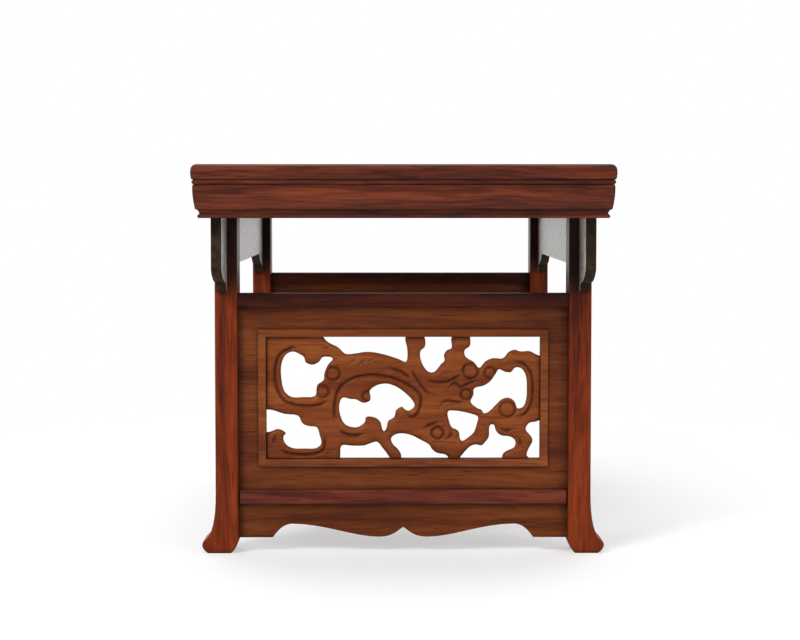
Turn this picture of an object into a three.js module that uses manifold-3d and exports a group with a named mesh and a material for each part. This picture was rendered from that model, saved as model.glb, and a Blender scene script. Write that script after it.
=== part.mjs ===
// Miniature recessed-leg altar table in hardwood, as the joiner makes it: a mitred top frame round a
// floating panel, slotted legs that hold aprons and spandrel heads, and two openwork end frames.
// Millimetres, +Z up. The length runs along Y, the depth along X, and the feet stand on z = 0.
import * as THREE from 'three';
import { mergeVertices } from 'three/addons/utils/BufferGeometryUtils.js';
import Module from 'manifold-3d';

const wasm = await Module();
wasm.setup();

// Overall sizes.
const TOP_LENGTH = 320;
const TOP_DEPTH = 161;
const TABLE_HEIGHT = 155;
const TOP_THICKNESS = 20.4;

// Top frame, its floating panel and the braces under it.
const FRAME_WIDTH = 24;
const MITRE_GAP = 0.3;
const CORNER_TENON_LENGTH = 9;
const CORNER_TENON_WIDTH = 8;
const CORNER_TENON_THICKNESS = 4;
const CORNER_TENON_RISE = 6;
const TOP_PANEL_THICKNESS = 6;
const TOP_PANEL_GAP = 0.3;
const TOP_TONGUE_LENGTH = 4;
const TOP_TONGUE_THICKNESS = 2.4;
const TOP_TONGUE_DROP = 1.8;
const BRACE_COUNT = 3;
const BRACE_SPACING = 80;
const BRACE_WIDTH = 14;
const BRACE_HEIGHT = 8;
const BRACE_TENON_LENGTH = 5;
const BRACE_TENON_WIDTH = 8;
const BRACE_TENON_HEIGHT = 4;
const DOVETAIL_HEIGHT = 1.8;
const DOVETAIL_NECK = 6;
const DOVETAIL_FLARE = 1;
const DOVETAIL_GAP = 0.3;

// Legs: outer spread, section, flared foot and slotted head.
const LEG_SPREAD_X = 150.2;
const LEG_SPREAD_Y = 239;
const LEG_WIDTH = 9.1;
const LEG_DEPTH = 15;
const LEG_ARRIS = 0.6;
const FOOT_FLARE = 5.5;
const FOOT_SWEEP_HEIGHT = 24;
const TOE_HEIGHT = 3.8;
const HEEL_LIFT = 6.8;
const HEEL_TUCK = 3.1;
const LEG_TENON_LENGTH = 7;
const LEG_TENON_WIDTH = 10;
const LEG_TENON_THICKNESS = 2.6;

// Aprons and spandrel heads, one thickness, held in the slot of each leg.
const APRON_THICKNESS = 4.1;
const APRON_INSET = 0.9;
const APRON_DEPTH = 19.8;
const APRON_OVERHANG = 25.6;
const APRON_TONGUE_HEIGHT = 1.6;
const APRON_TONGUE_THICKNESS = 1.6;
const SPANDREL_DEPTH = 9.6;
const SPANDREL_INNER_WING = 24;
const SCROLL_RADIUS = 1.7;

// End frames: rails, openwork panel and cusped board.
const RAIL_SETBACK = 0.8;
const RAIL_DEPTH = 9;
const RAIL_ARRIS = 0.5;
const UPPER_RAIL_TOP = 104.2;
const UPPER_RAIL_HEIGHT = 5.2;
const LOWER_RAIL_TOP = 25.4;
const LOWER_RAIL_HEIGHT = 5.6;
const LOWER_RAIL_END_GAP = 0.6;
const RAIL_TENON_LENGTH = 4;
const RAIL_TENON_HEIGHT = 3.2;
const RAIL_TENON_DEPTH = 3;
const RAIL_TENON_SETBACK = 9;
const BOARD_SETBACK = 3.6;
const BOARD_THICKNESS = 4.6;
const BOARD_TONGUE_LENGTH = 2.2;
const BOARD_TONGUE_THICKNESS = 2;
const BOARD_TONGUE_INSET = 1.2;
const GROOVE_SLACK = 0.3;
const BORDER_FIELD_SIDE = 8;
const BORDER_FIELD_TOP = 9.2;
const BORDER_WIDTH = 3;
const BORDER_RISE = 1;
const CARVING_RECESS = 0.5;
const CUSPED_BOARD_THICKNESS = 4;
const CUSPED_BOARD_BOTTOM = 5.9;
const CUSP_FLAT_WIDTH = 13.6;
const CUSP_RISE = 5.5;
const CUSP_SHOULDER_WIDTH = 7.8;
const CUSP_LOBE_HALF = 9.6;
const CUSP_POINT_RISE = 4.2;

// Levels and planes that follow from them.
const TOP_UNDERSIDE = TABLE_HEIGHT - TOP_THICKNESS;
const LEG_OUTER_X = LEG_SPREAD_X / 2;
const LEG_INNER_X = LEG_OUTER_X - LEG_WIDTH;
const LEG_FRONT_Y = -LEG_SPREAD_Y / 2;
const APRON_OUTER_X = LEG_OUTER_X - APRON_INSET;
const APRON_INNER_X = APRON_OUTER_X - APRON_THICKNESS;
const APRON_BOTTOM = TOP_UNDERSIDE - APRON_DEPTH;
const SPANDREL_BOTTOM = APRON_BOTTOM - SPANDREL_DEPTH;
const PANEL_BOTTOM = LOWER_RAIL_TOP;
const PANEL_TOP = UPPER_RAIL_TOP - UPPER_RAIL_HEIGHT;
const LOWER_RAIL_BOTTOM = LOWER_RAIL_TOP - LOWER_RAIL_HEIGHT;
const OPENWORK_HALF = LEG_INNER_X - BORDER_FIELD_SIDE - BORDER_WIDTH;
const OPENWORK_BOTTOM = PANEL_BOTTOM + BORDER_FIELD_TOP + BORDER_WIDTH;
const OPENWORK_TOP = PANEL_TOP - BORDER_FIELD_TOP - BORDER_WIDTH;

// Finishes of the wood: the frame timber, the redder legs, the golden boards and the dry inner faces.
const wood = (color) => new THREE.MeshStandardMaterial({ color, roughness: 0.42, metalness: 0 });
const TOP_WOOD = wood(0x5e2517);
const LEG_WOOD = wood(0x7a2f18);
const RAIL_WOOD = wood(0x4e1f18);
const BOARD_WOOD = wood(0x6e3a1c);
const APRON_WOOD = wood(0x4a2c20);
const UNDER_WOOD = wood(0x7d5a40);

function toSolid(geometry) {
  const plain = geometry.clone();
  plain.deleteAttribute('normal');
  plain.deleteAttribute('uv');
  const merged = mergeVertices(plain);
  return new wasm.Manifold(new wasm.Mesh({
    numProp: 3,
    vertProperties: new Float32Array(merged.attributes.position.array),
    triVerts: new Uint32Array(merged.index.array),
  }));
}

function toGeometry(solid) {
  const mesh = solid.getMesh();
  const geometry = new THREE.BufferGeometry();
  geometry.setAttribute('position', new THREE.BufferAttribute(mesh.vertProperties, 3));
  geometry.setIndex(new THREE.BufferAttribute(mesh.triVerts, 1));
  geometry.computeVertexNormals();
  return geometry;
}

// A block between two corners given as ranges along X, Y and Z, in either order.
function block([x0, x1], [y0, y1], [z0, z1]) {
  const size = [Math.abs(x1 - x0), Math.abs(y1 - y0), Math.abs(z1 - z0)];
  const geometry = new THREE.BoxGeometry(...size);
  geometry.translate((x0 + x1) / 2, (y0 + y1) / 2, (z0 + z1) / 2);
  return toSolid(geometry);
}

// An outline drawn in the XZ plane and extruded along Y, from the plane y0 to y1.
function alongY(shape, y0, y1, arris = 0) {
  const geometry = new THREE.ExtrudeGeometry(shape, {
    depth: y1 - y0 - 2 * arris,
    curveSegments: 8,
    bevelEnabled: arris > 0,
    bevelThickness: arris,
    bevelSize: arris,
    bevelOffset: -arris,
    bevelSegments: 2,
  });
  geometry.rotateX(Math.PI / 2);
  geometry.translate(0, y1 - arris, 0);
  return toSolid(geometry);
}

// An outline drawn in the YZ plane and extruded along X, from the plane x0 to x1.
function alongX(shape, x0, x1) {
  const geometry = new THREE.ExtrudeGeometry(shape, { depth: x1 - x0, curveSegments: 8, bevelEnabled: false });
  geometry.rotateX(Math.PI / 2);
  geometry.rotateZ(Math.PI / 2);
  geometry.translate(x0, 0, 0);
  return toSolid(geometry);
}

// An outline drawn in the XY plane and extruded along Z, from the level z0 to z1.
function alongZ(points, z0, z1) {
  const shape = new THREE.Shape(points.map(([x, y]) => new THREE.Vector2(x, y)));
  const geometry = new THREE.ExtrudeGeometry(shape, { depth: z1 - z0, bevelEnabled: false });
  geometry.translate(0, 0, z0);
  return toSolid(geometry);
}

function piece(name, solid, material) {
  const mesh = new THREE.Mesh(toGeometry(solid), material);
  mesh.name = name;
  return mesh;
}

// Edge moulding of the top frame, from the inner edge at 0 out to the face at width: a rounded upper
// band, a thin bead, a full face that leans in, a quick cove and a bead at the underside.
function frameProfile(width) {
  const shape = new THREE.Shape();
  shape.moveTo(0, TOP_UNDERSIDE);
  shape.lineTo(width - 2.7, TOP_UNDERSIDE);
  shape.quadraticCurveTo(width - 2.1, TOP_UNDERSIDE + 0.7, width - 2.7, TOP_UNDERSIDE + 1.4);
  shape.lineTo(width - 3.1, TOP_UNDERSIDE + 1.6);
  shape.quadraticCurveTo(width - 2.9, TOP_UNDERSIDE + 3.1, width - 1.6, TOP_UNDERSIDE + 3.4);
  shape.quadraticCurveTo(width - 0.5, TOP_UNDERSIDE + 8.4, width - 0.7, TABLE_HEIGHT - 8);
  shape.lineTo(width - 1.1, TABLE_HEIGHT - 7.8);
  shape.quadraticCurveTo(width - 0.1, TABLE_HEIGHT - 7, width - 0.6, TABLE_HEIGHT - 6.2);
  shape.lineTo(width - 1, TABLE_HEIGHT - 6);
  shape.lineTo(width - 0.4, TABLE_HEIGHT - 5.7);
  shape.quadraticCurveTo(width, TABLE_HEIGHT - 5, width, TABLE_HEIGHT - 3);
  shape.quadraticCurveTo(width, TABLE_HEIGHT - 0.4, width - 2, TABLE_HEIGHT);
  shape.lineTo(0, TABLE_HEIGHT);
  return shape;
}

// One member of the top frame, lying on +X and running along Y for 2 * halfLength before its mitres.
function frameMember(halfSpan, halfLength) {
  const inner = halfSpan - FRAME_WIDTH;
  const reach = halfLength - MITRE_GAP / Math.SQRT2;
  const moulding = alongY(frameProfile(FRAME_WIDTH), -halfLength, halfLength).translate(inner, 0, 0);
  const plan = alongZ([
    [halfSpan + 1, -reach - 1], [halfSpan + 1, reach + 1],
    [inner, reach - FRAME_WIDTH], [inner, -reach + FRAME_WIDTH],
  ], TOP_UNDERSIDE - 1, TABLE_HEIGHT + 1);
  const grooveTop = TABLE_HEIGHT - TOP_TONGUE_DROP;
  const groove = block(
    [inner - 1, inner + TOP_TONGUE_LENGTH + TOP_PANEL_GAP],
    [-halfLength, halfLength],
    [grooveTop - TOP_TONGUE_THICKNESS, grooveTop],
  );
  return moulding.intersect(plan).subtract(groove);
}

// The tenon at one corner, which runs along Y from the long member into the end member.
function cornerTenon(side, end, slack) {
  const middle = side * (TOP_DEPTH / 2 - FRAME_WIDTH / 2);
  const root = TOP_LENGTH / 2 - FRAME_WIDTH + FRAME_WIDTH / 2 - CORNER_TENON_WIDTH;
  const tip = TOP_LENGTH / 2 - FRAME_WIDTH / 2 + CORNER_TENON_LENGTH - CORNER_TENON_WIDTH / 2 + slack;
  const bottom = TOP_UNDERSIDE + CORNER_TENON_RISE;
  return block(
    [middle - CORNER_TENON_WIDTH / 2 - slack, middle + CORNER_TENON_WIDTH / 2 + slack],
    [end * root, end * tip],
    [bottom - slack, bottom + CORNER_TENON_THICKNESS + slack],
  );
}

function braceTenon(side, y) {
  const inner = TOP_DEPTH / 2 - FRAME_WIDTH;
  const top = TABLE_HEIGHT - TOP_PANEL_THICKNESS - (BRACE_HEIGHT - BRACE_TENON_HEIGHT) / 2;
  return block(
    [side * (inner - 1), side * (inner + BRACE_TENON_LENGTH)],
    [y - BRACE_TENON_WIDTH / 2, y + BRACE_TENON_WIDTH / 2],
    [top - BRACE_TENON_HEIGHT, top],
  );
}

// The dovetail ridge on a brace, or with slack its channel in the underside of the top panel.
function dovetail(y, halfLength, slack) {
  const base = TABLE_HEIGHT - TOP_PANEL_THICKNESS;
  const neck = DOVETAIL_NECK / 2 + slack;
  const shape = new THREE.Shape();
  shape.moveTo(y - neck, base);
  shape.lineTo(y + neck, base);
  shape.lineTo(y + neck + DOVETAIL_FLARE, base + DOVETAIL_HEIGHT + slack);
  shape.lineTo(y - neck - DOVETAIL_FLARE, base + DOVETAIL_HEIGHT + slack);
  return alongX(shape, -halfLength, halfLength);
}

const bracePlaces = Array.from(
  { length: BRACE_COUNT },
  (_, i) => (i - (BRACE_COUNT - 1) / 2) * BRACE_SPACING,
);

function legTenon(side, end) {
  const middle = side * (LEG_INNER_X + APRON_INNER_X) / 2;
  const y = end * (LEG_SPREAD_Y - LEG_DEPTH) / 2;
  return block(
    [middle - LEG_TENON_THICKNESS / 2, middle + LEG_TENON_THICKNESS / 2],
    [y - LEG_TENON_WIDTH / 2, y + LEG_TENON_WIDTH / 2],
    [TOP_UNDERSIDE - 1, TOP_UNDERSIDE + LEG_TENON_LENGTH],
  );
}

function apronTongue(side, halfLength) {
  const middle = side * (APRON_INNER_X + APRON_OUTER_X) / 2;
  return block(
    [middle - APRON_TONGUE_THICKNESS / 2, middle + APRON_TONGUE_THICKNESS / 2],
    [-halfLength, halfLength],
    [TOP_UNDERSIDE - 1, TOP_UNDERSIDE + APRON_TONGUE_HEIGHT],
  );
}

const APRON_HALF = LEG_SPREAD_Y / 2 + APRON_OVERHANG;
const APRON_TONGUE_HALF = APRON_HALF - APRON_THICKNESS;

// The mitred frame: long members carry the corner tenons, end members their mortises.
function topFrame(group) {
  for (const [side, name] of [[-1, 'left'], [1, 'right']]) {
    let member = frameMember(TOP_DEPTH / 2, TOP_LENGTH / 2);
    if (side < 0) member = member.rotate([0, 0, 180]);
    for (const end of [-1, 1]) {
      member = member.add(cornerTenon(side, end, 0)).subtract(legTenon(side, end));
    }
    for (const y of bracePlaces) member = member.subtract(braceTenon(side, y));
    member = member.subtract(apronTongue(side, APRON_TONGUE_HALF));
    group.add(piece(`top_frame_side_${name}`, member, TOP_WOOD));
  }
  for (const [end, name] of [[-1, 'near'], [1, 'far']]) {
    let member = frameMember(TOP_LENGTH / 2, TOP_DEPTH / 2).rotate([0, 0, end * 90]);
    for (const side of [-1, 1]) member = member.subtract(cornerTenon(side, end, MITRE_GAP));
    group.add(piece(`top_frame_end_${name}`, member, TOP_WOOD));
  }
}

function topPanel() {
  const halfX = TOP_DEPTH / 2 - FRAME_WIDTH - TOP_PANEL_GAP;
  const halfY = TOP_LENGTH / 2 - FRAME_WIDTH - TOP_PANEL_GAP;
  const tongueTop = TABLE_HEIGHT - TOP_TONGUE_DROP;
  let board = block([-halfX, halfX], [-halfY, halfY], [TABLE_HEIGHT - TOP_PANEL_THICKNESS, TABLE_HEIGHT]);
  board = board.add(block(
    [-halfX - TOP_TONGUE_LENGTH, halfX + TOP_TONGUE_LENGTH],
    [-halfY - TOP_TONGUE_LENGTH, halfY + TOP_TONGUE_LENGTH],
    [tongueTop - TOP_TONGUE_THICKNESS, tongueTop],
  ));
  for (const y of bracePlaces) board = board.subtract(dovetail(y, TOP_DEPTH, DOVETAIL_GAP));
  return piece('top_panel', board, TOP_WOOD);
}

function brace(y, name) {
  const inner = TOP_DEPTH / 2 - FRAME_WIDTH;
  const top = TABLE_HEIGHT - TOP_PANEL_THICKNESS;
  let bar = block([-inner, inner], [y - BRACE_WIDTH / 2, y + BRACE_WIDTH / 2], [top - BRACE_HEIGHT, top]);
  bar = bar.add(dovetail(y, inner - TOP_TONGUE_LENGTH, 0));
  for (const side of [-1, 1]) bar = bar.add(braceTenon(side, y));
  return piece(name, bar, UNDER_WOOD);
}

function apron(side, name) {
  const board = block(
    [side * APRON_INNER_X, side * APRON_OUTER_X],
    [-APRON_HALF, APRON_HALF],
    [APRON_BOTTOM, TOP_UNDERSIDE],
  );
  return piece(name, board.add(apronTongue(side, APRON_TONGUE_HALF)), APRON_WOOD);
}

// A spandrel head hangs under the apron at one leg. Each wing sweeps down to a small scroll at the leg.
// Drawn in YZ for the near end, with the leg's front face at front and its back face at back.
function spandrelOutline() {
  const front = LEG_FRONT_Y;
  const back = LEG_FRONT_Y + LEG_DEPTH;
  const scroll = 2 * SCROLL_RADIUS;
  const shape = new THREE.Shape();
  shape.moveTo(front - APRON_OVERHANG, APRON_BOTTOM);
  shape.quadraticCurveTo(
    front - APRON_OVERHANG * 0.8, SPANDREL_BOTTOM + scroll + 1,
    front - scroll, SPANDREL_BOTTOM + scroll,
  );
  shape.absarc(front - SCROLL_RADIUS, SPANDREL_BOTTOM + SCROLL_RADIUS, SCROLL_RADIUS, Math.PI, 1.5 * Math.PI);
  shape.lineTo(back + SCROLL_RADIUS, SPANDREL_BOTTOM);
  shape.absarc(back + SCROLL_RADIUS, SPANDREL_BOTTOM + SCROLL_RADIUS, SCROLL_RADIUS, 1.5 * Math.PI, 2 * Math.PI);
  shape.lineTo(back + scroll, SPANDREL_BOTTOM + scroll);
  shape.quadraticCurveTo(
    back + SPANDREL_INNER_WING * 0.8, SPANDREL_BOTTOM + scroll + 1,
    back + SPANDREL_INNER_WING, APRON_BOTTOM,
  );
  return shape;
}

function spandrel(side, name) {
  const near = Math.min(side * APRON_INNER_X, side * APRON_OUTER_X);
  return piece(name, alongX(spandrelOutline(), near, near + APRON_THICKNESS), APRON_WOOD);
}

// The leg seen from the end, outer side towards +X: a straight post whose foot sweeps out to a toe.
function legOutline(side) {
  const shape = new THREE.Shape();
  const x = (value) => side * value;
  shape.moveTo(x(LEG_INNER_X), TOP_UNDERSIDE + 2);
  shape.lineTo(x(LEG_INNER_X), HEEL_LIFT);
  shape.bezierCurveTo(
    x(LEG_INNER_X), HEEL_LIFT / 2,
    x(LEG_INNER_X + HEEL_TUCK / 2), HEEL_LIFT / 6,
    x(LEG_INNER_X + HEEL_TUCK), 0,
  );
  shape.lineTo(x(LEG_OUTER_X + FOOT_FLARE * 0.55), 0);
  shape.quadraticCurveTo(
    x(LEG_OUTER_X + FOOT_FLARE * 0.9), TOE_HEIGHT * 0.25,
    x(LEG_OUTER_X + FOOT_FLARE), TOE_HEIGHT * 0.75,
  );
  shape.quadraticCurveTo(
    x(LEG_OUTER_X + FOOT_FLARE * 1.02), TOE_HEIGHT * 1.15,
    x(LEG_OUTER_X + FOOT_FLARE * 0.8), TOE_HEIGHT * 1.4,
  );
  shape.bezierCurveTo(
    x(LEG_OUTER_X + FOOT_FLARE * 0.3), TOE_HEIGHT * 1.9,
    x(LEG_OUTER_X), FOOT_SWEEP_HEIGHT * 0.55,
    x(LEG_OUTER_X), FOOT_SWEEP_HEIGHT,
  );
  shape.lineTo(x(LEG_OUTER_X), TOP_UNDERSIDE + 2);
  return shape;
}

function railTenon(side, top, height) {
  const middle = top - height / 2;
  return block(
    [side * (LEG_INNER_X - 1), side * (LEG_INNER_X + RAIL_TENON_LENGTH)],
    [LEG_FRONT_Y + RAIL_TENON_SETBACK, LEG_FRONT_Y + RAIL_TENON_SETBACK - RAIL_TENON_DEPTH],
    [middle - RAIL_TENON_HEIGHT / 2, middle + RAIL_TENON_HEIGHT / 2],
  );
}

// The tongue that runs round a board, or with slack the groove that holds it.
function boardTongue(halfWidth, bottom, top, slack) {
  const face = LEG_FRONT_Y + BOARD_SETBACK + BOARD_TONGUE_INSET;
  return block(
    [-halfWidth - BOARD_TONGUE_LENGTH - slack, halfWidth + BOARD_TONGUE_LENGTH + slack],
    [face, face + BOARD_TONGUE_THICKNESS],
    [bottom, top],
  );
}

const panelGroove = () => boardTongue(
  LEG_INNER_X,
  PANEL_BOTTOM - BOARD_TONGUE_LENGTH - GROOVE_SLACK,
  PANEL_TOP + BOARD_TONGUE_LENGTH + GROOVE_SLACK,
  GROOVE_SLACK,
);
const cuspedGroove = () => boardTongue(
  LEG_INNER_X,
  CUSPED_BOARD_BOTTOM,
  LOWER_RAIL_BOTTOM + BOARD_TONGUE_LENGTH + GROOVE_SLACK,
  GROOVE_SLACK,
);

function leg(side, name) {
  const back = LEG_FRONT_Y + LEG_DEPTH;
  let post = alongY(legOutline(side), LEG_FRONT_Y, back, LEG_ARRIS);
  post = post.subtract(block(
    [side * (LEG_INNER_X - 1), side * (LEG_OUTER_X + 1)],
    [LEG_FRONT_Y - 1, back + 1],
    [TOP_UNDERSIDE, TOP_UNDERSIDE + 3],
  ));
  post = post.subtract(block(
    [side * APRON_INNER_X, side * APRON_OUTER_X],
    [LEG_FRONT_Y - 1, back + 1],
    [SPANDREL_BOTTOM, TOP_UNDERSIDE + 1],
  ));
  post = post.add(legTenon(side, -1));
  post = post.subtract(railTenon(side, UPPER_RAIL_TOP, UPPER_RAIL_HEIGHT));
  post = post.subtract(railTenon(side, LOWER_RAIL_TOP, LOWER_RAIL_HEIGHT));
  post = post.subtract(panelGroove()).subtract(cuspedGroove());
  return piece(name, post, LEG_WOOD);
}

// A rail between the legs, with softened front edges, a tenon at each end and the boards' grooves.
function rail(name, top, height, endGap) {
  const front = LEG_FRONT_Y + RAIL_SETBACK;
  const back = front + RAIL_DEPTH;
  const half = LEG_INNER_X - endGap;
  const shape = new THREE.Shape();
  shape.moveTo(back, top - height);
  shape.lineTo(back, top);
  shape.lineTo(front + RAIL_ARRIS, top);
  shape.quadraticCurveTo(front, top, front, top - RAIL_ARRIS);
  shape.lineTo(front, top - height + RAIL_ARRIS);
  shape.quadraticCurveTo(front, top - height, front + RAIL_ARRIS, top - height);
  let bar = alongX(shape, -half, half);
  for (const side of [-1, 1]) {
    bar = bar.add(railTenon(side, top, height));
  }
  return piece(name, bar.subtract(panelGroove()).subtract(cuspedGroove()), RAIL_WOOD);
}

// Openings of the chi-dragon carving, in millimetres from the lower left corner of a field of
// CARVING_DRAWN_WIDTH by CARVING_DRAWN_HEIGHT. A point outside the field runs the opening to its edge.
const CARVING_DRAWN_WIDTH = 109.6;
const CARVING_DRAWN_HEIGHT = 49.2;
const CARVING_OPENINGS = {
  overBack: [
    [22.4, 50.8], [23.4, 48.2], [25.2, 46.6], [28.8, 44.8], [31.6, 42.2], [34.8, 42.2], [40.8, 43],
    [47.6, 41.8], [53.6, 39.8], [56, 38.8], [56.5, 43.6], [55.6, 48], [55.6, 50.8],
  ],
  tailLoop: [
    [10.7, 43.1], [13.2, 42.2], [15.2, 40.8], [15.8, 38.8], [18.8, 37.8], [21.4, 39.2], [22.6, 40.9],
    [26.8, 40.4], [24.6, 37.6], [23.2, 34], [23, 31.6], [20.4, 29.6], [19.6, 25.2], [14.8, 24.7],
    [10, 24.8], [7.2, 27.2], [6, 32.8], [6.1, 38], [7.8, 41.8],
  ],
  underTail: [
    [-1.2, 19.2], [1.6, 19.7], [7.2, 18], [12.8, 17.2], [14.4, 14.2], [17.2, 13], [20.2, 12.6],
    [21.4, 9.2], [22, 6], [20, 4.1], [15.2, 3.9], [10.8, 4], [8, 5.4], [6.8, 7.6], [7, 9.2],
    [7.8, 10], [6.4, 11.3], [4.2, 11.8], [1.6, 10.8], [-1.2, 10.8],
  ],
  belly: [
    [48.2, 30.2], [52, 29], [55.2, 26.8], [58.4, 23.6], [59.4, 21.2], [57.2, 19.2], [55.4, 19.8],
    [54.4, 20.8], [52, 19.4], [51.2, 16.6], [48.8, 15], [48.2, 12.4], [47.1, 10.7], [46.3, 12.4],
    [45.6, 14.8], [43.6, 16.4], [40, 16.7], [39.4, 14.6], [36.4, 12.5], [31.6, 13.6], [29.3, 18.8],
    [29.6, 23.2], [30.8, 24.6], [33.6, 24], [36, 23.8], [38.8, 22.4], [41.4, 23.2], [41.8, 24.8],
    [41.4, 27.2], [44, 29.4],
  ],
  behindHorn: [
    [62.8, 51.2], [63.7, 48], [63.5, 45], [61.7, 43.2], [62.2, 38.8], [64.8, 35], [67.2, 34.8],
    [70, 38], [71.4, 39.4], [71.1, 41.6], [72.4, 43.6], [74.2, 44.4], [74, 48], [74.4, 51.2],
  ],
  overSnout: [
    [82, 51.2], [81.8, 46.8], [81.4, 45.2], [79.4, 43.6], [79.8, 41], [83.2, 38.8], [85.3, 36.4],
    [87.6, 39], [90.8, 40.4], [94.8, 40.3], [97.1, 42.9], [99.6, 43.8], [101.6, 43.1], [105.6, 43.2],
    [108.8, 41.6], [111.6, 41.2], [111.6, 51.2],
  ],
  headLoop: [
    [93.2, 36], [95.4, 35], [98, 34.8], [99.6, 36.6], [102, 36.4], [103.9, 33.6], [104.4, 28.4],
    [104.1, 23.6], [102.8, 20.6], [100.6, 20.2], [99.6, 22.8], [97.2, 24.4], [94.4, 23.8],
    [92, 21.6], [89.2, 18.8], [87.2, 18.1], [86.2, 19.6], [85, 20], [81.8, 22.8], [83, 25.6],
    [83.2, 28.2], [87.2, 29.4], [89.8, 31.2], [91.8, 34],
  ],
  behindRearPaw: [
    [30.1, 5.2], [29.6, 0.4], [29.2, -1.6], [50, -1.6], [48.8, 1.2], [46.4, 4.4], [44.4, 6.7],
    [42, 6.2], [39.2, 5.2], [34.4, 5.1],
  ],
  underChest: [
    [50, 8.2], [51.8, 9.7], [54.4, 10.1], [58, 9.4], [61.6, 7.6], [65.2, 5.6], [66.3, 3.8],
    [68.4, 2.2], [72, 1.4], [73.2, -0.4], [72.8, -2], [54, -2], [54.1, 1.2], [52.8, 3.6], [50.6, 5.8],
  ],
  throat: [
    [72.8, 19], [75.2, 19.3], [78.8, 18.8], [82.4, 17.9], [84.8, 16.8], [84.4, 14], [83.2, 10.5],
    [81.2, 8.6], [78.4, 6.9], [77.5, 8.4], [77.3, 10.4], [76.2, 11.6], [74.4, 12.4], [73.2, 15.2],
  ],
  underForepaw: [
    [76.4, -1.8], [78, 0.8], [80, 3.2], [81.8, 4.9], [84, 5.6], [86.2, 5.2], [87.6, 6.4],
    [89.2, 8.8], [89.3, 11.6], [89.7, 13.5], [91.2, 13.6], [92, 11.2], [94, 9.3], [98, 8.7],
    [99.9, 6.8], [99.4, 4.4], [96.4, 2.9], [94.8, 1.6], [93.8, -1.8],
  ],
  lowerCorner: [
    [111.6, 15.8], [108, 14.8], [105.4, 14.3], [103.9, 11.8], [106.2, 8.8], [106.7, 7],
    [105.1, 3.8], [104.4, 1.2], [105.6, -0.1], [106.4, -2], [111.6, -2],
  ],
};
const CURVE_STEPS_PER_POINT = 3;

// One opening as a solid that goes right through the panel, clipped at the border's inner edge.
function openingSolid(points) {
  const scaleX = 2 * OPENWORK_HALF / CARVING_DRAWN_WIDTH;
  const scaleZ = (OPENWORK_TOP - OPENWORK_BOTTOM) / CARVING_DRAWN_HEIGHT;
  const knots = points.map(([u, v]) => new THREE.Vector3(
    u * scaleX - OPENWORK_HALF, v * scaleZ + OPENWORK_BOTTOM, 0,
  ));
  const curve = new THREE.CatmullRomCurve3(knots, true, 'centripetal');
  const outline = curve.getPoints(points.length * CURVE_STEPS_PER_POINT).slice(0, -1);
  const shape = new THREE.Shape(outline.map((p) => new THREE.Vector2(p.x, p.y)));
  return alongY(shape, LEG_FRONT_Y, LEG_FRONT_Y + LEG_DEPTH);
}

function openworkBlock(y0, y1) {
  return block([-OPENWORK_HALF, OPENWORK_HALF], [y0, y1], [OPENWORK_BOTTOM, OPENWORK_TOP]);
}

function openworkPanel(name) {
  const face = LEG_FRONT_Y + BOARD_SETBACK;
  const back = face + BOARD_THICKNESS;
  const tongue = boardTongue(
    LEG_INNER_X, PANEL_BOTTOM - BOARD_TONGUE_LENGTH, PANEL_TOP + BOARD_TONGUE_LENGTH, 0,
  );
  let board = block([-LEG_INNER_X, LEG_INNER_X], [face, back], [PANEL_BOTTOM, PANEL_TOP]).add(tongue);
  const border = block(
    [-OPENWORK_HALF - BORDER_WIDTH, OPENWORK_HALF + BORDER_WIDTH],
    [face - BORDER_RISE, back],
    [OPENWORK_BOTTOM - BORDER_WIDTH, OPENWORK_TOP + BORDER_WIDTH],
  );
  board = board.add(border).subtract(openworkBlock(LEG_FRONT_Y, face + CARVING_RECESS));
  for (const points of Object.values(CARVING_OPENINGS)) {
    const hole = openingSolid(points).intersect(openworkBlock(LEG_FRONT_Y, LEG_FRONT_Y + LEG_DEPTH));
    board = board.subtract(hole);
  }
  return piece(name, board, BOARD_WOOD);
}

// The cusped board under the lower rail: an ogee at each side, two long lobes and a point between them.
function cuspedOutline() {
  const low = CUSPED_BOARD_BOTTOM;
  const crest = low + CUSP_RISE;
  const foot = LEG_INNER_X - CUSP_FLAT_WIDTH;
  const crestX = foot - CUSP_SHOULDER_WIDTH;
  const shape = new THREE.Shape();
  shape.moveTo(-LEG_INNER_X, LOWER_RAIL_BOTTOM);
  shape.lineTo(-LEG_INNER_X, low);
  shape.lineTo(-foot, low);
  shape.bezierCurveTo(-foot + 2, low + CUSP_RISE * 0.5, -crestX - 3.5, crest, -crestX, crest);
  shape.bezierCurveTo(-crestX + 13, crest, -CUSP_LOBE_HALF - 10, low + 0.1, -CUSP_LOBE_HALF, low + 0.2);
  shape.bezierCurveTo(-CUSP_LOBE_HALF + 5.5, low + 0.3, -2.5, low + CUSP_POINT_RISE * 0.6, 0, low + CUSP_POINT_RISE);
  shape.bezierCurveTo(2.5, low + CUSP_POINT_RISE * 0.6, CUSP_LOBE_HALF - 5.5, low + 0.3, CUSP_LOBE_HALF, low + 0.2);
  shape.bezierCurveTo(CUSP_LOBE_HALF + 10, low + 0.1, crestX - 13, crest, crestX, crest);
  shape.bezierCurveTo(crestX + 3.5, crest, foot - 2, low + CUSP_RISE * 0.5, foot, low);
  shape.lineTo(LEG_INNER_X, low);
  shape.lineTo(LEG_INNER_X, LOWER_RAIL_BOTTOM);
  return shape;
}

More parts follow.
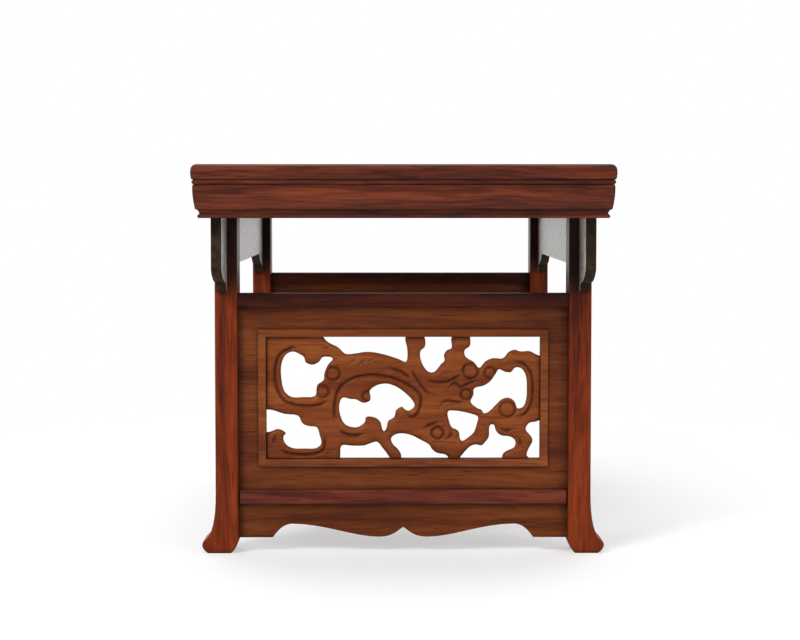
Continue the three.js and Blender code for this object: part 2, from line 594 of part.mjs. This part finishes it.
function cuspedBoard(name) {
  const face = LEG_FRONT_Y + BOARD_SETBACK;
  const foot = LEG_INNER_X - CUSP_FLAT_WIDTH;
  let tongue = boardTongue(LEG_INNER_X, CUSPED_BOARD_BOTTOM, LOWER_RAIL_BOTTOM + BOARD_TONGUE_LENGTH, 0);
  tongue = tongue.subtract(block(
    [-foot, foot], [LEG_FRONT_Y, LEG_FRONT_Y + LEG_DEPTH], [CUSPED_BOARD_BOTTOM - 1, LOWER_RAIL_BOTTOM],
  ));
  const board = alongY(cuspedOutline(), face, face + CUSPED_BOARD_THICKNESS);
  return piece(name, board.add(tongue), BOARD_WOOD);
}

// Everything that stands at one end. The far end is the near one turned half round.
function endFrame(end) {
  const group = new THREE.Group();
  const sides = end === 'near' ? [[-1, 'left'], [1, 'right']] : [[-1, 'right'], [1, 'left']];
  for (const [side, name] of sides) {
    group.add(leg(side, `leg_${end}_${name}`));
    group.add(spandrel(side, `spandrel_${end}_${name}`));
  }
  group.add(rail(`upper_rail_${end}`, UPPER_RAIL_TOP, UPPER_RAIL_HEIGHT, 0));
  group.add(rail(`lower_rail_${end}`, LOWER_RAIL_TOP, LOWER_RAIL_HEIGHT, LOWER_RAIL_END_GAP));
  group.add(openworkPanel(`openwork_panel_${end}`));
  group.add(cuspedBoard(`cusped_board_${end}`));
  if (end === 'far') group.rotation.z = Math.PI;
  return group;
}

const table = new THREE.Group();
topFrame(table);
table.add(topPanel());
bracePlaces.forEach((y, i) => table.add(brace(y, `brace_${i + 1}`)));
table.add(apron(-1, 'apron_left'), apron(1, 'apron_right'));
table.add(endFrame('near'), endFrame('far'));

export default table;
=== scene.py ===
# %% [markdown]
# A miniature altar table in polished hardwood, dressed around its joiner's frame.
# The frame comes from the CAD model and fixes every size. This lesson adds the finish of each kind of
# timber, and carves the two openwork panels, whose dragon is only cut out in the frame.

import math

import bpy
import numpy as np
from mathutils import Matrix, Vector
from mathutils.kdtree import KDTree


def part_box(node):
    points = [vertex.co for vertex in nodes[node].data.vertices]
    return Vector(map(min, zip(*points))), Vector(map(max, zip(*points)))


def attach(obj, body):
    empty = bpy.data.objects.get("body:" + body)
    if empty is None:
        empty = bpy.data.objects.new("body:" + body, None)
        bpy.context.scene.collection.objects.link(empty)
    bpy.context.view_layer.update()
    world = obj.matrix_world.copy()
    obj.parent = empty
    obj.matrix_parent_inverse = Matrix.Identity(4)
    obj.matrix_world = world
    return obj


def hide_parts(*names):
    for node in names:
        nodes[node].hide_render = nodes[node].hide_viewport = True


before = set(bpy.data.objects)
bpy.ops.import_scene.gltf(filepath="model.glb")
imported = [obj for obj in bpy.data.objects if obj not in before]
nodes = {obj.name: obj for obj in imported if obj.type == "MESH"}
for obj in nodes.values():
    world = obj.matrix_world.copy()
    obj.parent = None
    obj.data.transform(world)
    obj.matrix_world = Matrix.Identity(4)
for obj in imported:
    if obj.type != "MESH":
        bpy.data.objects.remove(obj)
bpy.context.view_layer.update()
MM = 0.001
bpy.context.scene.view_settings.view_transform = "Standard"
print("frame nodes:", len(nodes))

# %% [markdown]
# The camera stands in front of one short end, a little above mid height, with a long lens. Its place
# was worked out from the perspective of the legs, so that near and far legs line up as in the photo.

# %% Camera
LENS = 90.55
CAMERA_DISTANCE = 800 * MM
CAMERA_LEFT = 5.2 * MM
CAMERA_HEIGHT = 141.4 * MM
CAMERA_PITCH = math.radians(3.41)
CAMERA_YAW = math.radians(0.281)

leg_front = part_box("leg_near_left")[0].y
bpy.ops.object.camera_add(
    location=(-CAMERA_LEFT, leg_front - CAMERA_DISTANCE, CAMERA_HEIGHT),
    rotation=(math.pi / 2 - CAMERA_PITCH, 0, -CAMERA_YAW),
)
camera = bpy.context.object
camera.data.lens = LENS
camera.data.sensor_width = 36
bpy.context.scene.camera = camera

# %% [markdown]
# Shader maths reads best as plain expressions, so one small class wraps a socket and turns + - * and
# the like into Math nodes. Everything that is not arithmetic comes from its one method for nodes.

# %% Shader helper
class Sock:
    """A node socket that can be used in arithmetic."""

    def __init__(self, tree, socket):
        self.tree = tree
        self.socket = socket

    def math(self, operation, other=None, reverse=False):
        node = self.tree.nodes.new("ShaderNodeMath")
        node.operation = operation
        values = [self, other] if not reverse else [other, self]
        for slot, value in zip(node.inputs, values):
            if isinstance(value, Sock):
                self.tree.links.new(value.socket, slot)
            elif value is not None:
                slot.default_value = value
        return Sock(self.tree, node.outputs[0])

    def __add__(self, other):
        return self.math("ADD", other)

    __radd__ = __add__

    def __mul__(self, other):
        return self.math("MULTIPLY", other)

    __rmul__ = __mul__

    def __sub__(self, other):
        return self.math("SUBTRACT", other)

    def __rsub__(self, other):
        return self.math("SUBTRACT", other, reverse=True)

    def __gt__(self, other):
        return self.math("GREATER_THAN", other)

    def __lt__(self, other):
        return self.math("LESS_THAN", other)

    def absolute(self):
        return self.math("ABSOLUTE")


class Material:
    """A node material being built, with one method that adds any node."""

    def __init__(self, name):
        self.data = bpy.data.materials.new(name)
        self.data.use_nodes = True
        self.tree = self.data.node_tree
        self.tree.nodes.clear()
        self.output = self.tree.nodes.new("ShaderNodeOutputMaterial")

    def node(self, kind, settings=None, output=0, **inputs):
        node = self.tree.nodes.new(kind)
        for key, value in (settings or {}).items():
            if key == "stops":
                ramp = node.color_ramp.elements
                while len(ramp) < len(value):
                    ramp.new(1)
                for element, (position, colour) in zip(ramp, value):
                    element.position = position
                    element.color = (*colour, 1)
            else:
                setattr(node, key, value)
        for key, value in inputs.items():
            slot = node.inputs[int(key[1:]) if key[1:].isdigit() else key.replace("_", " ")]
            if isinstance(value, Sock):
                self.tree.links.new(value.socket, slot)
            else:
                slot.default_value = value
        return Sock(self.tree, node.outputs[output])

    def finish(self, shader):
        self.tree.links.new(shader.socket, self.output.inputs["Surface"])
        return self.data

# %% [markdown]
# Old polished hardwood has three scales of figure: broad dark streaks along the grain, finer growth
# lines, and short dark pores. All three are noises stretched along the grain. Painted shade darkens the
# colour where pieces meet, found by an occlusion reading, and edges are softened by a small bevel in the
# normals.

# %% Hardwood finish
GRAIN_STRETCH = 14
PORE_STRETCH = 30
BROAD_SCALE = 150
FINE_SCALE = 900
PORE_SCALE = 2600
BROAD_SHARE = 0.72
WANDER = 0.006
TONE_STOPS = (0.38, 0.5, 0.62)
PORE_EDGES = (0.6, 0.7)
PORE_INK = 0.55
PORE_TONE = 0.28
# Painted shade: the dark tone mixed into the colour where an occlusion reading finds corners and joins.
CORNER_SHADE_TONE = (0.012, 0.007, 0.005)
OPEN_EDGES = (0.25, 0.8)
EDGE_RADIUS = 0.35 * MM
GRAIN_BUMP = (0.25, 0.12 * MM)
CARVED_BUMP = (0.4, 0.3 * MM)
SPECULAR = 0.13
COAT_ROUGHNESS = 0.2
GROOVE = "groove"
# Painted shade: how dark the carved cut lines are painted.
GROOVE_SHADE = 0.68
DENT_SIZE = 260
DENT_DEPTH = 1.6
# Painted shade: the leg heads above the upper rail fade to near black, in the shadow under the top.
HEAD_FADE = 9 * MM
HEAD_SHADE = 0.85
LEG_HEAD_SHADE_TONE = (0.012, 0.006, 0.004)


def grain_noise(mat, coords, axis, across, seed, stretch=GRAIN_STRETCH, **settings):
    """A noise drawn out along the grain; across is its scale at right angles to the grain."""
    scale = [across] * 3
    scale[axis] = across / stretch
    drawn_out = mat.node("ShaderNodeMapping", Vector=coords, Scale=scale)
    return mat.node("ShaderNodeTexNoise", {"noise_dimensions": "4D"},
                    Vector=drawn_out, W=seed, Scale=1.0, **settings)


def hardwood_colour(mat, coords, axis, dark, mid, light, seed):
    """The colour, and the pore mask, of one timber whose grain runs along an axis."""
    wander = mat.node("ShaderNodeTexNoise", {"noise_dimensions": "4D"}, output=1,
                      Vector=coords, W=seed, Scale=18.0, Detail=2.0)
    bent = mat.node("ShaderNodeMix", {"data_type": "VECTOR"}, output=1, _0=WANDER, _4=coords, _5=wander)
    broad = grain_noise(mat, bent, axis, BROAD_SCALE, seed, Detail=5.0, Roughness=0.62)
    fine = grain_noise(mat, bent, axis, FINE_SCALE, seed + 3, Detail=3.0)
    pores = grain_noise(mat, coords, axis, PORE_SCALE, seed + 7, PORE_STRETCH, Detail=1.0)
    tone = broad * BROAD_SHARE + fine * (1 - BROAD_SHARE)
    ramp = mat.node("ShaderNodeValToRGB", {"stops": list(zip(TONE_STOPS, (dark, mid, light)))}, Fac=tone)
    pore = mat.node("ShaderNodeMapRange", Value=pores, _1=PORE_EDGES[0], _2=PORE_EDGES[1], _3=0.0, _4=1.0)
    return ramp, pore, fine


def timber(name, axis, dark, mid, light, seed, roughness=0.36, coat=0.08, corner_shade=0.75, reach=5 * MM,
           grooved=False, shaded_above=None):
    mat = Material(name)
    coords = mat.node("ShaderNodeTexCoord", output=3)
    ramp, pore, fine = hardwood_colour(mat, coords, axis, dark, mid, light, seed)
    inked = mat.node("ShaderNodeMix", {"data_type": "RGBA", "blend_type": "MIX"}, output=2,
                     _0=pore * PORE_INK, _6=ramp, _7=(*[c * PORE_TONE for c in dark], 1))
    # Painted shade: above this height the colour fades to near black, standing for the shadow under the top.
    if shaded_above is not None:
        height = mat.node("ShaderNodeSeparateXYZ", output=2, Vector=coords)
        head_shade = mat.node("ShaderNodeMapRange", Value=height, _1=shaded_above, _2=shaded_above + HEAD_FADE,
                        _3=0.0, _4=HEAD_SHADE)
        inked = mat.node("ShaderNodeMix", {"data_type": "RGBA"}, output=2,
                         _0=head_shade, _6=inked, _7=(*LEG_HEAD_SHADE_TONE, 1))
    # Painted shade: an occlusion reading darkens the colour in corners and where pieces meet.
    open_air = mat.node("ShaderNodeAmbientOcclusion", {"samples": 8}, output=1, Distance=reach)
    shade_mask = mat.node("ShaderNodeMapRange", Value=open_air,
                      _1=OPEN_EDGES[0], _2=OPEN_EDGES[1], _3=corner_shade, _4=0.0)
    relief = fine * 0.5 - pore
    if grooved:
        dents = mat.node("ShaderNodeTexNoise", Vector=coords, Scale=DENT_SIZE, Detail=1.0)
        relief = relief + dents * DENT_DEPTH
        # Painted shade: the cut lines that the groove attribute marks are darkened like corners.
        groove = mat.node("ShaderNodeAttribute", {"attribute_name": GROOVE}, output=2)
        shade_mask = shade_mask.math("MAXIMUM", groove * GROOVE_SHADE)
    shaded_colour = mat.node("ShaderNodeMix", {"data_type": "RGBA"}, output=2,
                    _0=shade_mask, _6=inked, _7=(*CORNER_SHADE_TONE, 1))
    soft_edge = mat.node("ShaderNodeBevel", {"samples": 4}, Radius=EDGE_RADIUS)
    strength, distance = CARVED_BUMP if grooved else GRAIN_BUMP
    bump = mat.node("ShaderNodeBump", Strength=strength, Distance=distance, Height=relief, Normal=soft_edge)
    shine = fine * 0.16 + pore * 0.2 + shade_mask * 0.25 + roughness
    shader = mat.node("ShaderNodeBsdfPrincipled", _0=shaded_colour, Roughness=shine, Normal=bump)
    shader.socket.node.inputs["Coat Weight"].default_value = coat
    shader.socket.node.inputs["Coat Roughness"].default_value = COAT_ROUGHNESS
    shader.socket.node.inputs["Specular IOR Level"].default_value = SPECULAR
    return mat.finish(shader)

# %% [markdown]
# The timbers differ: the top and the legs are a glossy red, the rails a dark purple red, and the two
# boards at each end are golden brown with open pores. Grain runs along each member.

# %% Timbers
ALONG_X, ALONG_Y, ALONG_Z = 0, 1, 2
TOP_TONES = ((0.028, 0.007, 0.004), (0.105, 0.02, 0.009), (0.23, 0.046, 0.015))
LEG_TONES = ((0.07, 0.01, 0.004), (0.195, 0.026, 0.004), (0.32, 0.052, 0.006))
RAIL_TONES = ((0.022, 0.004, 0.003), (0.058, 0.009, 0.005), (0.105, 0.018, 0.007))
LOWER_RAIL_TONES = ((0.045, 0.01, 0.008), (0.13, 0.024, 0.014), (0.22, 0.05, 0.022))
BOARD_TONES = ((0.09, 0.018, 0.006), (0.155, 0.035, 0.0085), (0.23, 0.06, 0.013))
CARVED_TONES = ((0.17, 0.034, 0.009), (0.245, 0.056, 0.012), (0.33, 0.088, 0.018))
APRON_TONES = ((0.014, 0.008, 0.005), (0.034, 0.02, 0.011), (0.07, 0.036, 0.018))
# Painted highlight: the paler tones given to the raised border.
BORDER_HIGHLIGHT_TONES = ((0.13, 0.03, 0.009), (0.235, 0.058, 0.014), (0.34, 0.1, 0.024))
RAW_TONES = ((0.12, 0.075, 0.045), (0.2, 0.13, 0.08), (0.28, 0.19, 0.12))

end_top = timber("top_wood_across", ALONG_X, *TOP_TONES, seed=1.0, coat=0.14)
side_top = timber("top_wood_along", ALONG_Y, *TOP_TONES, seed=2.0, coat=0.14)
# The leg heads above the upper rail get painted shade.
leg_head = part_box("upper_rail_near")[1].z - 1 * MM
leg_wood = timber("leg_wood", ALONG_Z, *LEG_TONES, seed=3.0, shaded_above=leg_head)
rail_wood = timber("rail_wood", ALONG_X, *RAIL_TONES, seed=4.0)
lower_rail_wood = timber("lower_rail_wood", ALONG_X, *LOWER_RAIL_TONES, seed=4.5)
board_wood = timber("board_wood", ALONG_X, *BOARD_TONES, seed=5.0, coat=0.05)
carved_wood = timber("carved_wood", ALONG_X, *CARVED_TONES, seed=5.5, coat=0.05, corner_shade=0.9, reach=2.2 * MM,
                     grooved=True)
border_highlight_wood = timber("border_highlight_wood", ALONG_X, *BORDER_HIGHLIGHT_TONES, seed=5.2, coat=0.1)
raw_wood = timber("raw_wood", ALONG_X, *RAW_TONES, seed=6.0, roughness=0.7, coat=0.0)


def apron_finish():
    """Dark outside and on the end grain; the face turned under the table is pale and specked, partly dust
    and partly a painted sheen reflecting the backdrop.
    """
    mat = Material("apron_wood")
    coords = mat.node("ShaderNodeTexCoord", output=3)
    ramp, pore, fine = hardwood_colour(mat, coords, ALONG_Y, *APRON_TONES, seed=8.0)
    split = mat.node("ShaderNodeSeparateXYZ", Vector=coords)
    inner_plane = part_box("apron_right")[0].x
    inside = split.absolute() < inner_plane + 0.05 * MM
    # Dust and painted sheen: the inner face is painted pale, partly dust and partly the backdrop's
    # reflection at a grazing angle.
    specks = mat.node("ShaderNodeTexNoise", Vector=coords, Scale=420.0, Detail=3.0)
    dust_and_sheen = mat.node("ShaderNodeValToRGB", {"stops": [
        (0.3, (0.1, 0.09, 0.08)), (0.4, (0.5, 0.46, 0.41)), (0.7, (0.66, 0.62, 0.56)),
    ]}, Fac=specks)
    colour = mat.node("ShaderNodeMix", {"data_type": "RGBA"}, output=2, _0=inside, _6=ramp, _7=dust_and_sheen)
    soft_edge = mat.node("ShaderNodeBevel", {"samples": 4}, Radius=EDGE_RADIUS)
    bump = mat.node("ShaderNodeBump", Strength=0.3, Distance=0.15 * MM,
                    Height=fine - pore + specks * inside, Normal=soft_edge)
    shader = mat.node("ShaderNodeBsdfPrincipled", _0=colour, Roughness=0.6 - inside * 0.28, Normal=bump,
                      Specular_IOR_Level=inside * 0.36 + 0.14)
    return mat.finish(shader)


apron_wood = apron_finish()
FINISHES = {
    "top_frame_end": end_top, "top_frame_side": side_top, "top_panel": side_top, "brace": raw_wood,
    "apron": apron_wood, "spandrel": apron_wood, "leg": leg_wood, "upper_rail": rail_wood,
    "lower_rail": lower_rail_wood, "openwork_panel": board_wood, "cusped_board": board_wood,
}
for name, node in nodes.items():
    finish = next(mat for prefix, mat in FINISHES.items() if name.startswith(prefix))
    node.data.materials.clear()
    node.data.materials.append(finish)
print("finished nodes:", len(nodes))

# %% [markdown]
# Each end panel is one board whose middle is pierced and then carved. The board keeps its crisp raised
# border. The pierced middle is taken as its own piece, given an even fine mesh, and worked as a carver
# does: edges are rounded down towards every opening, then lines are cut along limbs and scrolls.

# %% Split the panel
BORDER_FIELD = 11 * MM
BORDER_TOP = 12.2 * MM
VOXEL = 0.34 * MM
BORDER_REACH = 3.8 * MM
BORDER_RAISE = 0.9 * MM


def select_only(obj):
    bpy.ops.object.select_all(action="DESELECT")
    obj.select_set(True)
    bpy.context.view_layer.objects.active = obj


def copy_of(obj, name):
    twin = obj.copy()
    twin.data = obj.data.copy()
    twin.name = name
    for key in list(twin.keys()):
        del twin[key]
    twin.parent = None
    bpy.context.scene.collection.objects.link(twin)
    select_only(twin)
    bpy.ops.object.mode_set(mode="EDIT")
    bpy.ops.mesh.select_all(action="SELECT")
    bpy.ops.mesh.remove_doubles(threshold=0.002 * MM)
    bpy.ops.object.mode_set(mode="OBJECT")
    bpy.ops.mesh.customdata_custom_splitnormals_clear()
    return twin


panel_low, panel_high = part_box("openwork_panel_near")
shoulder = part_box("leg_near_right")[0].x
rail_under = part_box("upper_rail_near")[0].z
rail_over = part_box("lower_rail_near")[1].z
field_half = shoulder - BORDER_FIELD
field_low = rail_over + BORDER_TOP
field_high = rail_under - BORDER_TOP


def cut_with_field(obj, operation):
    """Keep what lies inside the carved field, or what lies outside it."""
    bpy.ops.mesh.primitive_cube_add(size=1, location=(
        0, (panel_low.y + panel_high.y) / 2, (field_low + field_high) / 2))
    cutter = bpy.context.object
    cutter.scale = (2 * field_half, 60 * MM, field_high - field_low)
    bpy.ops.object.transform_apply(location=True, rotation=True, scale=True)
    select_only(obj)
    cut = obj.modifiers.new("field", "BOOLEAN")
    cut.object = cutter
    cut.operation = operation
    cut.solver = "EXACT"
    bpy.ops.object.modifier_apply(modifier=cut.name)
    bpy.data.objects.remove(cutter)


board = copy_of(nodes["openwork_panel_near"], "panel_board_near")
cut_with_field(board, "DIFFERENCE")
bpy.ops.object.mode_set(mode="EDIT")
bpy.ops.mesh.select_all(action="SELECT")
bpy.ops.mesh.dissolve_degenerate(threshold=0.01 * MM)
bpy.ops.object.mode_set(mode="OBJECT")
bpy.ops.object.shade_flat()
carving = copy_of(nodes["openwork_panel_near"], "dragon_carving_near")
cut_with_field(carving, "INTERSECT")
carving.data.remesh_voxel_size = VOXEL
select_only(carving)
bpy.ops.object.voxel_remesh()
print("carving vertices:", len(carving.data.vertices))

# %% [markdown]
# The carver's lines are strokes drawn over the field, in millimetres from its lower left corner: the
# ledges that follow the loops, the balls at the scrolls, the jaw, the brow and the hair on the back.

# %% The carver's lines
LEDGES = [
    [(13, 44.7), (9.5, 44.4), (5.4, 41.8), (3.6, 35.9), (4.2, 28.9), (7.2, 23.6), (11.3, 21.8),
     (16.6, 21.2), (21.2, 21.8), (25.4, 23.6)],
    [(27.4, 14.8), (27.4, 21.8), (28.9, 27.7), (32.4, 31.2), (37.7, 33.3), (44.7, 33.6), (51.8, 32.1),
     (57.6, 29.2), (61.6, 25.4), (61.6, 21.4), (60, 17.6), (57.4, 16.8), (55.3, 18.2)],
    [(28.3, 12.1), (31.8, 10), (35.9, 9.4), (40, 10.3)],
    [(2.4, 4.4), (3.3, 8), (4.8, 10.3)],
    [(4.8, 3.3), (10.7, 1.8), (18.3, 1.8), (22.9, 3.9), (23.4, 9.7)],
    [(98.5, 38.1), (102.4, 38.4), (105.8, 34.5), (106.6, 28.3), (106.1, 22.7), (103.6, 18.2), (99.6, 16.5)],
    [(100.2, 9.4), (101.6, 6.6), (100.8, 3.2)],
]
LINES = [
    [(33, 37.7), (35.9, 40.6)], [(36.5, 37.1), (40, 40.6)], [(40, 38.8), (43.5, 40.6)],
    [(58, 36.4), (59.8, 32.8), (63.7, 27.2), (67.1, 25.8)],
    [(63.7, 31.7), (68.2, 30.8), (72.7, 31.1), (76, 32.8), (78.8, 33.9)],
    [(72.4, 27.4), (75.2, 30.6), (77.7, 28.9), (81.7, 30.6), (85.6, 31.7)],
    [(69.3, 21), (72.1, 23.3), (77.2, 22.7), (80.5, 23.3)],
    [(70.4, 7.2), (73.8, 9.4), (73.2, 12.8)],
    [(92.5, 12.5), (96, 11.4), (100.2, 12.4)],
    [(21.8, 44.1), (24.2, 44.7), (25.6, 43.2)],
    [(43, 22), (46, 25), (51, 25.2)], [(62, 12), (66, 13.8), (70, 15)], [(48, 36.8), (54, 35), (58.4, 31.4)],
]
# Centre and radius of each ball or eye that a ring cut sets off.
BALLS = [
    ((26.8, 34.2), 2.6), ((22.7, 27.1), 2.3), ((81.7, 35.3), 3), ((89.5, 34.5), 2.2), ((80, 25.8), 2.1),
    ((96.5, 19.9), 3.1), ((68.5, 10.3), 2.3), ((40.4, 25), 1.9), ((54.6, 22.6), 1.6),
]
DRAWN_WIDTH = 109.6
DRAWN_HEIGHT = 49.2
STEP = 0.15
TAPER = 3.0
SHALLOWEST = 0.15
RING_CUT = 0.9


def smooth_stroke(points):
    """Points every STEP millimetres along a Catmull-Rom curve through the given ones."""
    p = [np.array(q, float) for q in points]
    p = [2 * p[0] - p[1], *p, 2 * p[-1] - p[-2]]
    out = []
    for a, b, c, d in zip(p, p[1:], p[2:], p[3:]):
        count = max(2, int(np.linalg.norm(c - b) / STEP))
        for t in np.arange(count) / count:
            out.append(0.5 * (2 * b + (c - a) * t + (2 * a - 5 * b + 4 * c - d) * t**2
                              + (3 * b - a - 3 * c + d) * t**3))
    return out


def ring(centre, radius):
    angles = np.arange(0, 2 * math.pi, STEP / radius)
    return [np.array((centre[0] + radius * math.cos(a), centre[1] + radius * math.sin(a))) for a in angles]


def tree_of(points):
    tree = KDTree(len(points))
    for i, (u, v) in enumerate(points):
        tree.insert((u, v, 0), i)
    tree.balance()
    return tree


def cuts_of(strokes, rings=()):
    """The points of all strokes, and how deep each is cut: a stroke runs out towards both of its ends."""
    points, depths = [], []
    for stroke in strokes:
        path = smooth_stroke(stroke)
        to_end = np.minimum(np.arange(len(path)), np.arange(len(path))[::-1]) * STEP
        points += path
        depths += list(np.clip(to_end / TAPER, SHALLOWEST, 1))
    for centre, radius in rings:
        circle = ring(centre, radius)
        points += circle
        depths += [RING_CUT] * len(circle)
    return tree_of(points), np.array(depths)

# %% [markdown]
# Carving moves each point of the mesh towards the middle of the board. Near an opening the board is
# thinned along a quarter circle, which rounds the limbs. A cut line takes a narrow hollow from the
# front only. The strip between a ledge line and its opening ends up lower and rounder by itself. An
# attribute keeps where the cuts are, so that the finish can paint shade into them.

# %% Carve
ROUND_RADIUS = 3.1
EDGE_THICKNESS = 0.3
LINE_WIDTH = 0.46
LINE_DEPTH = 1.25 * MM
LEDGE_WIDTH = 0.52
LEDGE_DEPTH = 1.35 * MM
WALL_NORMAL = 0.6
RIM = 0.45

count = len(carving.data.vertices)
co = np.empty(count * 3, np.float32)
carving.data.vertices.foreach_get("co", co)
co = co.reshape(-1, 3).astype(float)
normal = np.empty(count * 3, np.float32)
carving.data.vertices.foreach_get("normal", normal)
normal = normal.reshape(-1, 3)
u = (co[:, 0] + field_half) / (2 * field_half) * DRAWN_WIDTH
v = (co[:, 2] - field_low) / (field_high - field_low) * DRAWN_HEIGHT
rim = np.minimum.reduce([u, DRAWN_WIDTH - u, v, DRAWN_HEIGHT - v]) < RIM
walls = (np.abs(normal[:, 1]) < WALL_NORMAL) & ~rim
wall_tree = tree_of(list(zip(u[walls], v[walls])))
line_tree, line_depths = cuts_of(LINES, BALLS)
ledge_tree, ledge_depths = cuts_of(LEDGES)


def nearest(tree):
    found = [tree.find((a, b, 0)) for a, b in zip(u, v)]
    return np.array([hit[2] for hit in found]), np.array([hit[1] for hit in found])


to_wall = nearest(wall_tree)[0]
to_line, line_index = nearest(line_tree)
to_ledge, ledge_index = nearest(ledge_tree)
middle = (co[:, 1].min() + co[:, 1].max()) / 2
fullness = EDGE_THICKNESS + (1 - EDGE_THICKNESS) * np.sqrt(
    1 - (1 - np.clip(to_wall / ROUND_RADIUS, 0, 1)) ** 2)
y = middle + (co[:, 1] - middle) * fullness
front = np.clip((middle - co[:, 1]) / (co[:, 1].max() - middle), 0, 1)
line_cut = front * line_depths[line_index] * np.exp(-(to_line / LINE_WIDTH) ** 2)
ledge_cut = front * ledge_depths[ledge_index] * np.exp(-(to_ledge / LEDGE_WIDTH) ** 2)
y += LINE_DEPTH * line_cut + LEDGE_DEPTH * ledge_cut
co[:, 1] = y
mark = carving.data.attributes.new(GROOVE, "FLOAT", "POINT")
mark.data.foreach_set("value", np.maximum(line_cut, ledge_cut).astype(np.float32))
carving.data.vertices.foreach_set("co", co.astype(np.float32).ravel())
carving.data.update()
select_only(carving)
smooth = carving.modifiers.new("tool_marks_eased", "SMOOTH")
smooth.factor = 0.5
smooth.iterations = 3
bpy.ops.object.modifier_apply(modifier=smooth.name)
bpy.ops.object.shade_smooth()
print("carved", carving.name)

# %% [markdown]
# The far end carries the same panel, turned half round. Each carving and board rides on the table and
# stands for the plain pierced panel of the frame.

# %% Far panel and riding
def turned_copy(obj, name):
    twin = copy_of(obj, name)
    twin.rotation_mode = "XYZ"
    twin.rotation_euler = (0, 0, math.pi)
    bpy.ops.object.transform_apply(location=True, rotation=True, scale=True)
    return twin


def paint_border_highlight(obj):
    """The raised border is painted paler than the board that it stands on, a painted highlight on its raised
    face.
    """
    # Painted highlight: faces of the raised border take the paler finish.
    obj.data.materials.append(border_highlight_wood)
    for face in obj.data.polygons:
        x, y, z = face.center
        across = abs(x) < field_half + BORDER_REACH
        upright = field_low - BORDER_REACH < z < field_high + BORDER_REACH
        if across and upright and abs(y) > abs(panel_low.y) - BORDER_RAISE:
            face.material_index = 1


board_far = turned_copy(board, "panel_board_far")
carving_far = turned_copy(carving, "dragon_carving_far")
for piece, node in [(board, "openwork_panel_near"), (carving, "openwork_panel_near"),
                    (board_far, "openwork_panel_far"), (carving_far, "openwork_panel_far")]:
    piece.data.materials.clear()
    piece.data.materials.append(carved_wood if piece in (carving, carving_far) else board_wood)
    if piece in (board, board_far):
        paint_border_highlight(piece)
    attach(piece, "root")
    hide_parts(node)

# %% [markdown]
# The stage is a pale floor that fades to white, under a white world with a brighter backdrop. A white
# card stands close behind the near panel, because its openings show plain white in the photo: only the
# camera sees it, and it throws no light.

# %% Stage
FLOOR_SIZE = 3.4
FLOOR_TONE = 0.6
FLOOR_GLOW = 0.45
FADE_FROM = 0.13
FADE_TO = 0.36
bpy.ops.mesh.primitive_plane_add(size=FLOOR_SIZE, location=(0, 0, 0))
floor = bpy.context.object
floor.name = "floor"
floor_mat = Material("floor_paper")
camera_ray = floor_mat.node("ShaderNodeLightPath", output=0)
paper = floor_mat.node("ShaderNodeBsdfPrincipled", Roughness=0.9, Emission_Strength=0.0)
paper.socket.node.inputs["Base Color"].default_value = (FLOOR_TONE, FLOOR_TONE, FLOOR_TONE, 1)
glow = floor_mat.node("ShaderNodeEmission", Strength=FLOOR_GLOW)
both = floor_mat.node("ShaderNodeAddShader", _0=paper, _1=glow)
place = floor_mat.node("ShaderNodeMapping", Vector=floor_mat.node("ShaderNodeTexCoord", output=3),
                       Scale=(1, 0.8, 1))
away = floor_mat.node("ShaderNodeVectorMath", {"operation": "LENGTH"}, output=1, _0=place)
fade = floor_mat.node("ShaderNodeMapRange", {"interpolation_type": "SMOOTHSTEP"},
                      Value=away, _1=FADE_FROM, _2=FADE_TO, _3=0.0, _4=1.0)
white_out = floor_mat.node("ShaderNodeEmission", Strength=1.0)
lit = floor_mat.node("ShaderNodeMixShader", _0=fade, _1=both, _2=white_out)
shown = floor_mat.node("ShaderNodeMixShader", _0=camera_ray, _1=paper, _2=lit)
floor.data.materials.append(floor_mat.finish(shown))

card_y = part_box("upper_rail_near")[1].y + 0.6 * MM
bpy.ops.mesh.primitive_plane_add(size=1, location=(0, card_y, (field_low + field_high) / 2 - 1 * MM),
                                 rotation=(math.pi / 2, 0, 0))
card = bpy.context.object
card.name = "white_card"
card.scale = (2 * field_half + 3 * MM, field_high - field_low + 5 * MM, 1)
bpy.ops.object.transform_apply(location=True, rotation=True, scale=True)
card_mat = Material("card_white")
seen = card_mat.node("ShaderNodeLightPath", output=0)
back = card_mat.node("ShaderNodeNewGeometry", output=6)
clear = card_mat.node("ShaderNodeBsdfTransparent")
white = card_mat.node("ShaderNodeEmission", Strength=1.0)
card.data.materials.append(card_mat.finish(
    card_mat.node("ShaderNodeMixShader", _0=seen * (1 - back), _1=clear, _2=white)))

world = bpy.data.worlds.new("studio")
bpy.context.scene.world = world
world.use_nodes = True
world_tree = world.node_tree
ground = world_tree.nodes["Background"]
ground.inputs["Color"].default_value = (1, 1, 1, 1)
path = Sock(world_tree, world_tree.nodes.new("ShaderNodeLightPath").outputs["Is Camera Ray"])
AMBIENT = 0.24
BACKDROP = 1.1
toward = world_tree.nodes.new("ShaderNodeSeparateXYZ")
world_tree.links.new(world_tree.nodes.new("ShaderNodeTexCoord").outputs["Generated"], toward.inputs[0])
behind = Sock(world_tree, toward.outputs["Y"]) > 0.6
unseen = behind * BACKDROP + AMBIENT
world_tree.links.new((path + (1 - path) * unseen).socket, ground.inputs["Strength"])


def soft_lamp(name, place, size, power):
    bpy.ops.object.light_add(type="AREA", location=place)
    lamp = bpy.context.object
    lamp.name = name
    lamp.data.size = size
    lamp.data.energy = power
    aim = Vector((0, 0, 0.08)) - Vector(place)
    lamp.rotation_euler = aim.to_track_quat("-Z", "Y").to_euler()


soft_lamp("key", (-0.9, -1.3, 1.3), 0.6, 20)
soft_lamp("fill", (1.1, -1.2, 0.7), 0.7, 7)
soft_lamp("top", (0, 0.3, 1.6), 1.2, 12)
